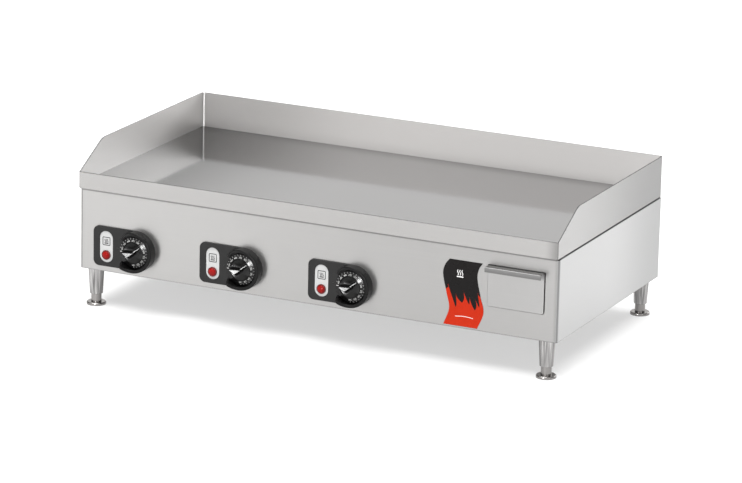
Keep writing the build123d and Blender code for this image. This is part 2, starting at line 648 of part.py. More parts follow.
def drawer_front():
    """Drawer face with its finger flange folded out and down from the top edge."""
    middle = Pos((DRAWER_LEFT + DRAWER_RIGHT) / 2, (DRAWER_BOTTOM + DRAWER_TOP) / 2)
    outline = middle * Rectangle(DRAWER_RIGHT - DRAWER_LEFT, DRAWER_TOP - DRAWER_BOTTOM)
    outline = fillet(outline.vertices().group_by(Axis.Y)[0], 4)
    face = prism_y(outline, DRAWER_FACE, DRAWER_FACE + DRAWER_SHEET)
    out = PANEL_FRONT - 17.5
    lip = 8.5
    flange = Polyline((DRAWER_FACE + DRAWER_SHEET, DRAWER_TOP), (out, DRAWER_TOP), (out, DRAWER_TOP - lip),
                      (out + DRAWER_SHEET, DRAWER_TOP - lip), (out + DRAWER_SHEET, DRAWER_TOP - DRAWER_SHEET),
                      (DRAWER_FACE + DRAWER_SHEET, DRAWER_TOP - DRAWER_SHEET), close=True)
    flange = prism_x(flange, DRAWER_LEFT + 0.4, DRAWER_RIGHT - 0.4)
    bend = flange.edges().filter_by(Axis.X).sort_by_distance((DRAIN_X, out, DRAWER_TOP))[0]
    return face + fillet(bend, 1.2)


def drawer_runner():
    """Left-hand runner: a web with a shelf under the tray and feet on the cabinet's floor."""
    web_x = (DRAWER_LEFT, DRAWER_LEFT + 1.2)
    web = block(web_x, (10, 430), (100, 168)) + block(web_x, (60, 400), (FLOOR_HIGH, 100))
    shelf = block((web_x[1], web_x[1] + 12), (10, 430), (112, 113.2))
    foot = block((web_x[0] - 12, web_x[0]), (60, 400), (FLOOR_HIGH, FLOOR_HIGH + 1.2))
    return web + shelf + foot


# ---- trim and fasteners -------------------------------------------------------------------------
def front_badge():
    """Thin adhesive badge with wavy sides on the fascia."""
    left = Spline((256.7, 186.7), (244.7, 160), (251.6, 128), (257.5, 100), (247.8, 70.6))
    right = Spline((310.2, 70), (321.3, 100), (314.8, 128), (308.3, 160), (317.5, 186))
    top = Line(right @ 1, left @ 0)
    bottom = Line(left @ 1, right @ 0)
    return prism_y(make_face(left + bottom + right + top), PANEL_FRONT - 0.4, PANEL_FRONT)


def rating_plate():
    plate = Pos(300, 170) * RectangleRounded(90, 50, 4)
    return prism_y(plate, REAR_OUT, REAR_OUT + 0.5)


SCREW_X = 447.0
SCREW_HEIGHTS = (85.0, 125.0, 165.0, 200.0)


def screw_holes():
    return [rod_y(side * SCREW_X, z, 2.05, REAR_IN - 2, DEPTH + 1) for side in (-1, 1) for z in SCREW_HEIGHTS]


def screw(x, z, head_y, tip_y, radius):
    """Pan-head screw along Y, its head on the side away from its tip, with a cross recess."""
    way = 1 if tip_y > head_y else -1
    top = head_y - way * 1.9
    head = rod_y(x, z, 1.9 * radius, *sorted((head_y, top)))
    rims = head.edges().filter_by(GeomType.CIRCLE).sort_by(Axis.Y)
    head = fillet(rims[0] if way > 0 else rims[-1], 0.8)
    shank = rod_y(x, z, radius, *sorted((head_y - way * 0.5, tip_y)))
    recess = [block((x - a, x + a), sorted((top - way, top + way)), (z - b, z + b))
              for a, b in ((1.6, 0.4), (0.4, 1.6))]
    return head + shank - recess


def panel_screws():
    """Screws of the rear panel and of the thermostats."""
    screws = [screw(side * SCREW_X, z, DEPTH, REAR_IN - 6, 1.95) for side in (-1, 1) for z in SCREW_HEIGHTS]
    for x in knob_x:
        screws += [screw(x + side * SCREW_SPREAD, KNOB_Z, PANEL_FRONT, 15, 1.75) for side in (-1, 1)]
    return joined(screws)


# ---- writing ------------------------------------------------------------------------------------
def both_sides(name, shape):
    save("right_" + name, shape)
    save("left_" + name, mirror(shape, Plane.YZ))


os.makedirs("parts", exist_ok=True)

for make in (griddle_plate, front_apron, grease_trough, back_splash, plate_gasket, front_panel, rear_panel,
             bottom_panel, heat_shield, insulation_pan, insulation_blanket, element_terminals,
             element_clamp_bars, plate_studs, stud_nuts, indicator_labels, pilot_lenses, pilot_lamp_bodies,
             capillary_tubes, terminal_block, ground_lug, wiring_harness, cable_gland, gland_locknut,
             leg_mounting_plates, drawer_pan, drawer_front, front_badge, rating_plate, panel_screws):
    save(make.__name__, make())

both_sides("splash", side_splash())
both_sides("side_panel", side_panel())

for make in (heating_element, thermostat, thermostat_shaft, bezel, knob):
    for zone in ZONES:
        save(f"{make.__name__}_{zone + 1}", make(zone))

for place, (leg_x, leg_y) in leg_places.items():
    save(place + "_leg", leg(leg_x, leg_y))
    save(place + "_foot", levelling_foot(leg_x, leg_y))

runner = drawer_runner()
save("drawer_runner_left", runner)
save("drawer_runner_right", Pos(DRAIN_X, 0, 0) * mirror(Pos(-DRAIN_X, 0, 0) * runner, Plane.YZ))
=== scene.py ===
"""Looks of a three-zone flat top griddle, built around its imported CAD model. Metres, +Z up."""
import json
from math import cos, exp, hypot, pi, radians, sin

import bmesh
import bpy
from mathutils import Matrix, Vector


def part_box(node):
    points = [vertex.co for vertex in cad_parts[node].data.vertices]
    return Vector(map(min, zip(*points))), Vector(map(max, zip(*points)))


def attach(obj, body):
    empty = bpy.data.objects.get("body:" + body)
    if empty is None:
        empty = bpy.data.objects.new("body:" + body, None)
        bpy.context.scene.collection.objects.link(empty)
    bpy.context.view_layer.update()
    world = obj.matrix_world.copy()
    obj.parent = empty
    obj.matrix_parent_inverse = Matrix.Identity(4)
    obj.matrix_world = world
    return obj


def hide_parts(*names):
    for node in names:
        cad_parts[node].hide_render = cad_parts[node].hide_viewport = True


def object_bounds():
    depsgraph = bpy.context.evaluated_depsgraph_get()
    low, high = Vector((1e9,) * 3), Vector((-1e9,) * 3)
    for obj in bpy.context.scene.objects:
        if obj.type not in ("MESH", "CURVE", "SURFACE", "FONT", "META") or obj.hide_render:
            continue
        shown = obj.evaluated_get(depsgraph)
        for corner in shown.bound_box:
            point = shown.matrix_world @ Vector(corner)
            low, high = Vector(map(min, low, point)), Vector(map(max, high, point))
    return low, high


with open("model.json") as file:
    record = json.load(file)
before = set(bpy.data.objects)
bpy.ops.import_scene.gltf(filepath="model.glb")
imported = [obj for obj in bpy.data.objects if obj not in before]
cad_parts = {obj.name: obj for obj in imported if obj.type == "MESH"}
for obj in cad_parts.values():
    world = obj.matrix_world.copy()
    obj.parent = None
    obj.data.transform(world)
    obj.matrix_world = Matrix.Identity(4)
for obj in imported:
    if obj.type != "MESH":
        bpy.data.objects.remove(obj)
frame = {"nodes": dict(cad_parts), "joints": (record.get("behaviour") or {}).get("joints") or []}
cad_low, cad_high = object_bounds()

# ---- driving places -----------------------------------------------------------------------------
MM = 0.001
ZONES = ("1", "2", "3")
knob_axis = {joint["child"]: Vector(joint["pos_m"]) for joint in frame["joints"] if "pos_m" in joint}

# Heights of the controls are in mm above the fascia, and places across are in mm from a knob's axis.
BEZEL_RADIUS = 36.2
BEZEL_LEFT = 86.0
BEZEL_CORNER = 10.6
BEZEL_THICK = 3.5
GUARD_INNER = 30.2
GUARD_INNER_ROUND = 1.0
GUARD_OUTER_ROUND = 1.7
GUARD_TOP_END = 150.0          # degrees, counter-clockwise from three o'clock
GUARD_BASE_END = -144.0
GUARD_RIM_END = -126.0
LABEL_X = -60.6
LABEL_Z = -0.4
LABEL_WIDTH = 25.8
LABEL_LENGTH = 56.8
LABEL_BACK = 1.2
LABEL_FRONT = 1.8
LABEL_GAP = 0.4                # between a label and its recess, both sides together
LAMP_Z = -15.3
LAMP_HOLE = 5.6
ICON_Z = 9.6
ICON_SIZE = 15.6
ICON_CORNER = 2.0
ICON_LINE = 1.5
SHAFT_HOLE = 18.0
SKIRT_RADIUS = 28.4
SKIRT_BACK = 5.0
SKIRT_ROUND = 1.2
HUB_RADIUS = 19.4
DIAL_TOP = 17.0                # height of the dial's cone at the hub
DIAL_SLOPE = 0.33
GRIP_ANGLE = 37.0
PRINT = 0.07                   # thickness of printed marks


# ---- mesh helpers -------------------------------------------------------------------------------
def arc(x, z, radius, start, end, steps):
    """Points round a circle between two angles in degrees, both ends included."""
    angles = [radians(start + (end - start) * i / steps) for i in range(steps + 1)]
    return [(x + radius * cos(a), z + radius * sin(a)) for a in angles]


def circle(x, z, radius):
    return arc(x, z, radius, 0, 360, 48)[:-1]


def pill(x, z, width, length):
    """An upright slot with round ends."""
    radius = width / 2
    reach = length / 2 - radius
    return arc(x, z + reach, radius, 0, 180, 24) + arc(x, z - reach, radius, 180, 360, 24)


def rounded_box(x, z, width, height, radius):
    across = width / 2 - radius
    up = height / 2 - radius
    corners = ((1, 1, 0), (-1, 1, 90), (-1, -1, 180), (1, -1, 270))
    points = []
    for side, level, angle in corners:
        points += arc(x + side * across, z + level * up, radius, angle, angle + 90, 8)
    return points


def bezier(a, b, c, d, steps):
    """Points on a cubic curve, without its last one."""
    points = []
    for i in range(steps):
        t = i / steps
        s = 1 - t
        weights = (s ** 3, 3 * s * s * t, 3 * s * t * t, t ** 3)
        points.append(tuple(sum(w * p[k] for w, p in zip(weights, (a, b, c, d))) for k in (0, 1)))
    return points


def through(points, at):
    """Value at a place of a smooth curve through (place, value) points, with level ends."""
    if at <= points[0][0]:
        return points[0][1]
    for i in range(len(points) - 1):
        (x0, y0), (x1, y1) = points[i], points[i + 1]
        if at <= x1:
            before = points[i - 1] if i else points[i]
            after = points[i + 2] if i + 2 < len(points) else points[i + 1]
            slope0 = (y1 - before[1]) / (x1 - before[0])
            slope1 = (after[1] - y0) / (after[0] - x0)
            width = x1 - x0
            t = (at - x0) / width
            return ((2 * t ** 3 - 3 * t * t + 1) * y0 + (t ** 3 - 2 * t * t + t) * width * slope0
                    + (3 * t * t - 2 * t ** 3) * y1 + (t ** 3 - t * t) * width * slope1)
    return points[-1][1]


def inset(points, distance):
    """A closed outline moved inward, along the bisector at each of its points."""
    moved = []
    count = len(points)
    for i, (x, z) in enumerate(points):
        before = Vector(points[i - 1])
        after = Vector(points[(i + 1) % count])
        into = (Vector((x, z)) - before).normalized()
        out = (after - Vector((x, z))).normalized()
        normal = Vector((-into.y - out.y, into.x + out.x))
        size = normal.length
        if size < 1e-6:
            moved.append((x, z))
            continue
        normal *= 1 / size
        stretch = 1 / max(0.5, -into.y * normal.x + into.x * normal.y)
        moved.append((x + normal.x * distance * stretch, z + normal.y * distance * stretch))
    return moved


def bridge(bm, low, high):
    """Faces between two closed rows of vertices of one length."""
    for i in range(len(low)):
        j = (i + 1) % len(low)
        bm.faces.new((low[i], low[j], high[j], high[i]))


def cap(bm, rows):
    """Fills the space inside the first closed row, around the others."""
    edges = []
    for row in rows:
        for i, vertex in enumerate(row):
            edges.append(bm.edges.get((vertex, row[(i + 1) % len(row)])))
    bmesh.ops.triangle_fill(bm, use_beauty=True, use_dissolve=False, edges=edges)


def slab(bm, outline, back, front, rim=0.0, holes=(), steps=4):
    """A plate facing -Y between two heights, its front edges rounded.

    A hole is (outline, floor), and one whose floor is None goes right through.
    """
    fronts = []
    backs = []
    for index, (points, floor) in enumerate([(outline, None), *holes]):
        side = -1 if index else 1
        turns = [radians(90) * k / steps for k in range(steps + 1)] if rim else [0.0]
        levels = [(0.0, back if floor is None else floor)]
        levels += [(rim * (1 - cos(a)), front - rim + rim * sin(a)) for a in turns]
        rows = [[bm.verts.new((x, -height, z)) for x, z in inset(points, side * inward)]
                for inward, height in levels]
        for low, high in zip(rows, rows[1:]):
            bridge(bm, low, high)
        fronts.append(rows[-1])
        if floor is None:
            backs.append(rows[0])
        else:
            cap(bm, [rows[0]])
    cap(bm, fronts)
    cap(bm, backs)


def lathe(bm, profile, segments, rearward=False):
    """Turns (radius, height) points about an axis along Y, rising toward the operator or rearward."""
    rise = 1 if rearward else -1
    rows = []
    for radius, height in profile:
        spots = [radians(360) * i / segments for i in range(segments)] if radius > 0 else [0.0]
        rows.append([bm.verts.new((radius * cos(a), rise * height, radius * sin(a))) for a in spots])
    for low, high in zip(rows, rows[1:]):
        if len(low) == len(high):
            bridge(bm, low, high)
            continue
        tip, ring = (low[0], high) if len(low) == 1 else (high[0], low)
        for i in range(segments):
            bm.faces.new((tip, ring[i], ring[(i + 1) % segments]))


def ribbon(bm, points, width, back, front):
    """A flat stroke of one width along open (x, z) points."""
    left = []
    right = []
    for i, point in enumerate(points):
        before = Vector(points[max(i - 1, 0)])
        after = Vector(points[min(i + 1, len(points) - 1)])
        run = (after - before).normalized()
        side = Vector((-run.y, run.x)) * width / 2
        left.append((point[0] + side.x, point[1] + side.y))
        right.append((point[0] - side.x, point[1] - side.y))
    slab(bm, right + left[::-1], back, front)


def evenly(low, high, count):
    """Equal steps from one value to another, both ends included."""
    return [low + (high - low) * i / count for i in range(count + 1)]


def piece(name, bm, material, body, nodes, at, sharp=38):
    """Makes a shown piece from a bmesh in mm about a place of the frame, riding on a CAD body."""
    bmesh.ops.recalc_face_normals(bm, faces=bm.faces)
    bmesh.ops.scale(bm, vec=(MM, MM, MM), verts=bm.verts)
    bmesh.ops.translate(bm, vec=at, verts=bm.verts)
    mesh = bpy.data.meshes.new(name)
    bm.to_mesh(mesh)
    bm.free()
    mesh.polygons.foreach_set("use_smooth", [True] * len(mesh.polygons))
    mesh.set_sharp_from_angle(angle=radians(sharp))
    mesh.materials.append(material)
    made = bpy.data.objects.new(name, mesh)
    bpy.context.scene.collection.objects.link(made)
    modifier = made.modifiers.new("even_shading", "WEIGHTED_NORMAL")
    modifier.keep_sharp = True
    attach(made, body)
    if nodes:
        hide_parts(*nodes)


# ---- materials ----------------------------------------------------------------------------------
# The colour that painted shade darkens a surface towards at its deepest.
PAINTED_SHADE = (0.03, 0.03, 0.03, 1)  # colour of a fully darkened place


class Nodes:
    """A node tree being made: add() puts in a node and links or sets its inputs by name or place."""

    def __init__(self, tree):
        self.tree = tree

    def set(self, node, inputs):
        for key, value in inputs.items():
            socket = node.inputs[key if isinstance(key, int) else key.replace("_", " ")]
            if isinstance(value, bpy.types.NodeSocket):
                self.tree.links.new(value, socket)
            else:
                socket.default_value = value

    def add(self, kind, inputs=None, **settings):
        node = self.tree.nodes.new("ShaderNode" + kind)
        for key, value in settings.items():
            setattr(node, key, value)
        self.set(node, inputs or {})
        return node

    def math(self, operation, first, second=0.0):
        return self.add("Math", {0: first, 1: second}, operation=operation).outputs[0]

    def mix(self, share, first, second):
        """A mix of two values."""
        return self.add("Mix", {0: share, 2: first, 3: second}).outputs[0]

    def smooth(self, value, start, end, low, high):
        """Eases from one value to another as the given value runs from start to end."""
        inputs = {"Value": value, "From Min": start, "From Max": end, "To Min": low, "To Max": high}
        return self.add("MapRange", inputs, interpolation_type="SMOOTHSTEP").outputs["Result"]


class Finish(Nodes):
    """A material being made on the standard surface shader."""

    def __init__(self, name, **constants):
        self.material = bpy.data.materials.new(name)
        self.material.use_nodes = True
        super().__init__(self.material.node_tree)
        self.shader = self.tree.nodes["Principled BSDF"]
        self.use(**constants)
        self.place = self.add("TexCoord").outputs["Object"]

    def use(self, **inputs):
        """Sets or links inputs of the surface shader."""
        self.set(self.shader, inputs)

    def noise(self, scale, detail=2.0, stretch=(1, 1, 1), rough=0.5):
        """Noise of a given number of cells to the metre, squeezed by a factor along each axis."""
        mapped = self.add("Mapping", {"Vector": self.place, "Scale": stretch}).outputs["Vector"]
        inputs = {"Vector": mapped, "Scale": scale, "Detail": detail, "Roughness": rough}
        return self.add("TexNoise", inputs).outputs["Fac"]

    def span(self, value, low, high, start=0.3, end=0.7):
        """Maps a span of a value, by default a noise's usual one, to another one."""
        inputs = {"Value": value, "From Min": start, "From Max": end, "To Min": low, "To Max": high}
        return self.add("MapRange", inputs).outputs["Result"]

    def tint(self, value, dark, light):
        """A colour between two, by a factor of 0 to 1."""
        return self.blend(value, (*dark, 1), (*light, 1))

    def blend(self, share, first, second):
        """A mix of two colours."""
        return self.add("Mix", {0: share, 6: first, 7: second}, data_type="RGBA").outputs[2]

    def direction(self, x, y, z):
        return self.add("CombineXYZ", {0: x, 1: y, 2: z}).outputs[0]

    def near(self, axis, place, reach):
        """1 at a place in mm along one axis of the object, falling to 0 at a reach from it."""
        along = self.add("SeparateXYZ", {0: self.place}).outputs[axis]
        apart = self.math("ABSOLUTE", self.math("SUBTRACT", along, place * MM))
        return self.smooth(apart, 0.0, reach * MM, 1.0, 0.0)

    def darkened(self, colour, painted_shades, painted_top_shade=0.0):
        """Paints shade into a colour near places and on faces that look up.

        Each place is (axis, place in mm, reach in mm, depth).
        """
        for axis, place, reach, depth in painted_shades:
            share = self.math("MULTIPLY", self.near(axis, place, reach), depth)
            colour = self.blend(share, colour, PAINTED_SHADE)
        if painted_top_shade:
            upward = self.add("SeparateXYZ", {0: self.add("TexCoord").outputs["Normal"]}).outputs["Z"]
            colour = self.blend(self.span(upward, 0.0, painted_top_shade, 0.15, 0.6), colour, PAINTED_SHADE)
        return colour

    def bump(self, height, distance, strength):
        inputs = {"Height": height, "Distance": distance, "Strength": strength}
        self.use(Normal=self.add("Bump", inputs).outputs["Normal"])


# Ways a brushed grain can run: (squeeze of its noise, direction).
ALONG_X = ((0.006, 1, 1), (1, 0, 0))
ALONG_Y = ((1, 0.006, 1), (0, 1, 0))


def brushed(name, tone, roughness, grain, streak=0.022, relief=0.12, painted_shades=(), edge=0.0):
    """Brushed stainless sheet: scratches along one axis, and painted shade near given places and on faces
    that look up, such as its top edge.
    """
    finish = Finish(name, Metallic=1.0, Anisotropic=0.55, Anisotropic_Rotation=0.25)
    squeeze, direction = grain
    hair = finish.noise(2600, 3.0, squeeze, 0.6)
    band = finish.noise(420, 3.0, squeeze, 0.6)
    cloud = finish.noise(7, 2.0)
    streaks = finish.mix(0.45, hair, band)
    mottled = finish.mix(0.25, streaks, cloud)
    dark = [c * (1 - streak) for c in tone]
    light = [c * (1 + streak) for c in tone]
    colour = finish.tint(finish.span(mottled, 0, 1), dark, light)
    finish.use(Base_Color=finish.darkened(colour, painted_shades, edge),
               Roughness=finish.span(streaks, roughness * 0.94, roughness * 1.06),
               Tangent=finish.direction(*direction))
    finish.bump(streaks, 0.00002, relief)
    return finish.material


def polished_top(name, tone, roughness, painted_shades=()):
    """Ground and polished cooking plate: long faint grinding marks, a few heat clouds, and painted shade
    near given places.
    """
    finish = Finish(name, Metallic=1.0, Anisotropic=0.3, Anisotropic_Rotation=0.25)
    hair = finish.noise(1500, 3.0, (0.02, 1, 1), 0.6)
    cloud = finish.noise(5, 3.0, (0.6, 1, 1))
    colour = finish.tint(finish.span(cloud, 0, 1), [c * 0.975 for c in tone], tone)
    finish.use(Base_Color=finish.darkened(colour, painted_shades),
               Roughness=finish.span(finish.mix(0.5, hair, cloud), roughness * 0.8, roughness * 1.2),
               Tangent=finish.direction(1, 0, 0))
    finish.bump(hair, 0.00001, 0.3)
    return finish.material


def plain_metal(name, tone, roughness, spots=900, depth=0.00004, variation=0.12):
    """Mill or plated metal: a soft mottle in tone, gloss and relief."""
    finish = Finish(name, Metallic=1.0)
    speckle = finish.noise(spots, 3.0)
    cloud = finish.noise(22, 3.0)
    both = finish.mix(0.5, speckle, cloud)
    dark = [c * (1 - variation) for c in tone]
    finish.use(Base_Color=finish.tint(finish.span(both, 0, 1), dark, tone),
               Roughness=finish.span(both, roughness * 0.8, roughness * 1.25))
    finish.bump(speckle, depth, 0.5)
    return finish.material


def turned(name, tone, roughness, painted_reflection_stripes=0.03):
    """Lathe-turned steel: fine rings round an upright axis, with soft upright stripes of tone that paint
    reflections.
    """
    finish = Finish(name, Metallic=1.0, Anisotropic=0.75)
    rings = finish.noise(2400, 3.0, (0.02, 0.02, 1), 0.6)
    upright = finish.noise(340, 1.5, (1, 1, 0.01), 0.5)
    dark = [c * (1 - painted_reflection_stripes) for c in tone]
    finish.use(Base_Color=finish.tint(finish.span(upright, 0, 1), dark, tone),
               Roughness=finish.span(rings, roughness * 0.95, roughness * 1.05),
               Tangent=finish.direction(0, 0, 1))
    finish.bump(rings, 0.00001, 0.05)
    return finish.material


def spangled(name, tone, roughness):
    """Aluminised sheet: crystals a few millimetres across, each of its own brightness."""
    finish = Finish(name, Metallic=1.0)
    cells = finish.add("TexVoronoi", {"Vector": finish.place, "Scale": 260.0})
    shade = finish.add("SeparateColor", {"Color": cells.outputs["Color"]}).outputs[0]
    finish.use(Base_Color=finish.tint(shade, [c * 0.82 for c in tone], tone),
               Roughness=finish.span(shade, roughness * 0.7, roughness * 1.2, 0, 1))
    finish.bump(finish.noise(700, 2.0), 0.00003, 0.4)
    return finish.material


def moulded(name, dark, light, roughness, grit=3800, depth=0.00003, **constants):
    """Moulded plastic: a fine spark-eroded grain with slightly uneven gloss."""
    finish = Finish(name, **constants)
    grain = finish.noise(grit, 2.0)
    cloud = finish.noise(45, 2.0)
    finish.use(Base_Color=finish.tint(finish.span(finish.mix(0.5, grain, cloud), 0, 1), dark, light),
               Roughness=finish.span(cloud, roughness * 0.85, roughness * 1.15))
    finish.bump(grain, depth, 0.6)
    return finish.material


def fibre(name, dark, light):
    """Mineral fibre blanket: matted strands."""
    finish = Finish(name, Sheen_Weight=0.3)
    strands = finish.noise(500, 6.0, (1, 0.25, 1), 0.75)
    lumps = finish.noise(45, 4.0)
    finish.use(Base_Color=finish.tint(finish.span(finish.mix(0.4, strands, lumps), 0, 1), dark, light),
               Roughness=finish.span(strands, 0.85, 1.0))
    finish.bump(strands, 0.0008, 0.8)
    return finish.material


# Places where shade is painted into the steel, in mm of the frame: folds, seams, cut edges and the far
# ends of the top.
PANEL_FOOT = 67.0
PANEL_HEAD = 211.6
PANEL_CORNER = 455.5           # middle of the bend from the front to the side
SIDE_CORNER = -221.0           # the same bend, seen from the side
SIDE_HEAD = 212.2
LIP_FOOT = 213.0
LIP_HEAD = 243.7
TOP_END = 457.0                # half the width
SPLASH_FOOT = 213.6
SPLASH_BACK = 235.75
FLANGE_FACE = -239.3           # of the drawer's finger flange
FLANGE_FOOT = 177.5            # the drawer's face under the flange

# Each face's brushed stainless is a lit or shaded copy of one steel: its tone paints how brightly light
# falls on that face.
front_steel = brushed("brushed_steel_front", (0.375, 0.370, 0.365), 0.30, ALONG_X,
                      painted_shades=[("Z", PANEL_HEAD, 3.6, 0.75), ("Z", PANEL_FOOT, 1.8, 0.5),
                              ("X", PANEL_CORNER, 9, 0.25), ("X", PANEL_CORNER, 900, 0.22)])
side_steel = brushed("brushed_steel_side", (0.472, 0.472, 0.472), 0.30, ALONG_Y, edge=0.95,
                     painted_shades=[("Y", SIDE_CORNER, 5, 0.6), ("Y", SPLASH_BACK, 260, 0.30),
                             ("Z", PANEL_FOOT, 2, 0.3), ("Z", SIDE_HEAD, 1.7, 0.9)])
back_splash_steel = brushed("brushed_steel_splash", (0.525, 0.513, 0.505), 0.46, ALONG_X, edge=0.9,
                            painted_shades=[("X", -TOP_END, 330, 0.26), ("X", TOP_END, 760, 0.30)])
lit_left_splash_steel = brushed("brushed_steel_left_splash", (0.83, 0.822, 0.815), 0.42, ALONG_Y,
                            relief=0.15, edge=0.97,
                            painted_shades=[("Y", -SPLASH_BACK, 220, 0.08), ("Y", SPLASH_BACK, 190, 0.18)])
right_splash_steel = brushed("brushed_steel_right_splash", (0.448, 0.444, 0.441), 0.42, ALONG_Y,
                             relief=0.15, edge=0.97,
                             painted_shades=[("Y", SPLASH_BACK, 440, 0.43), ("Z", SPLASH_FOOT, 1.7, 0.95)])
lip_steel = brushed("polished_lip_steel", (0.345, 0.340, 0.334), 0.24, ALONG_X, streak=0.02, relief=0.2,
                    painted_shades=[("Z", LIP_FOOT, 1.8, 0.5), ("X", TOP_END, 26, 0.42), ("X", TOP_END, 3, 0.3),
                            ("Z", LIP_HEAD, 1.3, 0.86)])
plate_steel = polished_top("polished_plate_steel", (0.305, 0.303, 0.304), 0.075,
                           painted_shades=[("X", -TOP_END, 420, 0.66), ("X", -TOP_END, 260, 0.80),
                                   ("Y", SPLASH_BACK, 48, 0.42), ("Y", SPLASH_BACK, 4, 0.5)])
trough_steel = brushed("trough_steel", (0.56, 0.55, 0.54), 0.34, ALONG_X)
mill_steel = plain_metal("mill_steel", (0.52, 0.51, 0.50), 0.38)
drawer_steel = brushed("drawer_steel", (0.305, 0.302, 0.299), 0.31, ALONG_X,
                       painted_shades=[("Y", FLANGE_FACE, 14, 0.5), ("Z", FLANGE_FOOT, 7, 0.3)])
aluminised = spangled("aluminised_steel", (0.62, 0.62, 0.61), 0.36)
zinc = plain_metal("zinc_plated_steel", (0.60, 0.61, 0.63), 0.30, 1400)
sheath = plain_metal("element_sheath", (0.16, 0.13, 0.12), 0.50, 700, variation=0.4)
copper = plain_metal("copper_tube", (0.75, 0.40, 0.28), 0.30, 900, variation=0.25)
# The legs' deep upright stripes are painted reflections.
leg_steel = turned("turned_leg_steel", (0.46, 0.451, 0.447), 0.16, painted_reflection_stripes=0.66)
foot_steel = turned("turned_foot_steel", (0.27, 0.26, 0.254), 0.17)
nickel = plain_metal("nickel_screw", (0.66, 0.65, 0.62), 0.22, 2200)
silver = plain_metal("silver_label_foil", (0.70, 0.70, 0.70), 0.35, 1800, variation=0.06)
wool = fibre("insulation_fibre", (0.62, 0.58, 0.48), (0.86, 0.82, 0.72))
black = moulded("black_plastic", (0.004, 0.004, 0.004), (0.006, 0.0057, 0.0057), 0.36,
                Specular_IOR_Level=0.27)
knob_black = moulded("knob_black_plastic", (0.0015, 0.0015, 0.0015), (0.0025, 0.0025, 0.0025), 0.18,
                     Specular_IOR_Level=0.24)
# The guard is a darker, less glossy copy of the bezel's black plastic: painted shade.
shaded_guard_black = moulded("guard_black_plastic", (0.003, 0.003, 0.003), (0.005, 0.005, 0.005), 0.30,
                      Specular_IOR_Level=0.12)
gasket_black = moulded("gasket_rubber", (0.012, 0.012, 0.012), (0.02, 0.02, 0.02), 0.8)
white = moulded("white_label_print", (0.300, 0.302, 0.302), (0.333, 0.335, 0.334), 0.35, 1800, 0.00001)
dial_white = moulded("dial_white_print", (0.29, 0.29, 0.285), (0.34, 0.34, 0.33), 0.18,
                     Specular_IOR_Level=0.30)
tick_grey = moulded("dial_grey_print", (0.16, 0.16, 0.16), (0.20, 0.20, 0.20), 0.2,
                    Specular_IOR_Level=0.30)
icon_grey = moulded("icon_grey_print", (0.02, 0.02, 0.02), (0.03, 0.03, 0.03), 0.45,
                    Specular_IOR_Level=0.3)
ceramic = moulded("white_ceramic", (0.72, 0.70, 0.66), (0.84, 0.82, 0.78), 0.35, 900)
badge_black = moulded("badge_black_film", (0.004, 0.0035, 0.0035), (0.005, 0.0042, 0.0042), 0.28,
                      400, 0.00001, Specular_IOR_Level=0.1)
badge_red = moulded("badge_red_film", (0.290, 0.014, 0.0030), (0.312, 0.016, 0.0040), 0.34,
                    2400, 0.00001, Specular_IOR_Level=0.06)
badge_mark = moulded("badge_white_film", (0.50, 0.50, 0.495), (0.56, 0.56, 0.555), 0.34, 2400, 0.00001)
wire = moulded("wire_sleeve", (0.52, 0.50, 0.44), (0.68, 0.65, 0.58), 0.7, 1500, 0.0001)
red_lens = moulded("red_lens_plastic", (0.18, 0.003, 0.002), (0.23, 0.005, 0.004), 0.10, 400, 0.00002,
                   Transmission_Weight=0.15, IOR=1.49, Specular_IOR_Level=0.06)
# The collar is a darker copy of the lens plastic: painted shade at the lens's rim.
shaded_collar_red = moulded("red_collar_painted_shade", (0.07, 0.002, 0.002), (0.10, 0.003, 0.003), 0.12, 400,
                     0.00002, IOR=1.49, Specular_IOR_Level=0.4)

BY_SLOT = {
    "brushed_stainless": front_steel, "polished_plate": plate_steel, "mill_stainless": mill_steel,
    "aluminised_steel": aluminised, "insulation_fibre": wool, "element_sheath": sheath,
    "zinc_steel": zinc, "copper_tube": copper, "white_ceramic": ceramic, "black_plastic": black,
    "white_label": white, "red_lens": red_lens, "badge_print": badge_black, "silver_label": silver,
    "wire_insulation": wire, "satin_steel_leg": leg_steel, "polished_foot": foot_steel,
}
BY_NODE = {
    "left_side_panel": side_steel, "right_side_panel": side_steel,
    "left_splash": lit_left_splash_steel, "right_splash": right_splash_steel,
    "back_splash": back_splash_steel, "front_apron": lip_steel, "grease_trough": trough_steel,
    "drawer_front": drawer_steel, "plate_gasket": gasket_black, "panel_screws": nickel,
}


def dress_cad_nodes():
    """Gives each CAD node its material, by its own name or that of its slot in the record."""
    for name, node in frame["nodes"].items():
        slot = node.material_slots[0].name.split(".")[0]
        choice = BY_NODE.get(name) or BY_SLOT[slot]
        node.data.materials.clear()
        node.data.materials.append(choice)


# ---- bezels, labels and lamps -------------------------------------------------------------------
# The three labels are one CAD node, and so are the three lenses: the first zone's piece replaces it.

# Height of the guard's rim by place across, above and below the knob's axis.
UPPER_GUARD = ((-31.6, 3.4), (-15.0, 12.6), (0.0, 17.8), (20.0, 18.7), (37.0, 19.0))
LOWER_GUARD = ((-22.0, 28.0), (-10.0, 23.0), (0.0, 20.6), (20.0, 19.2), (37.0, 19.0))


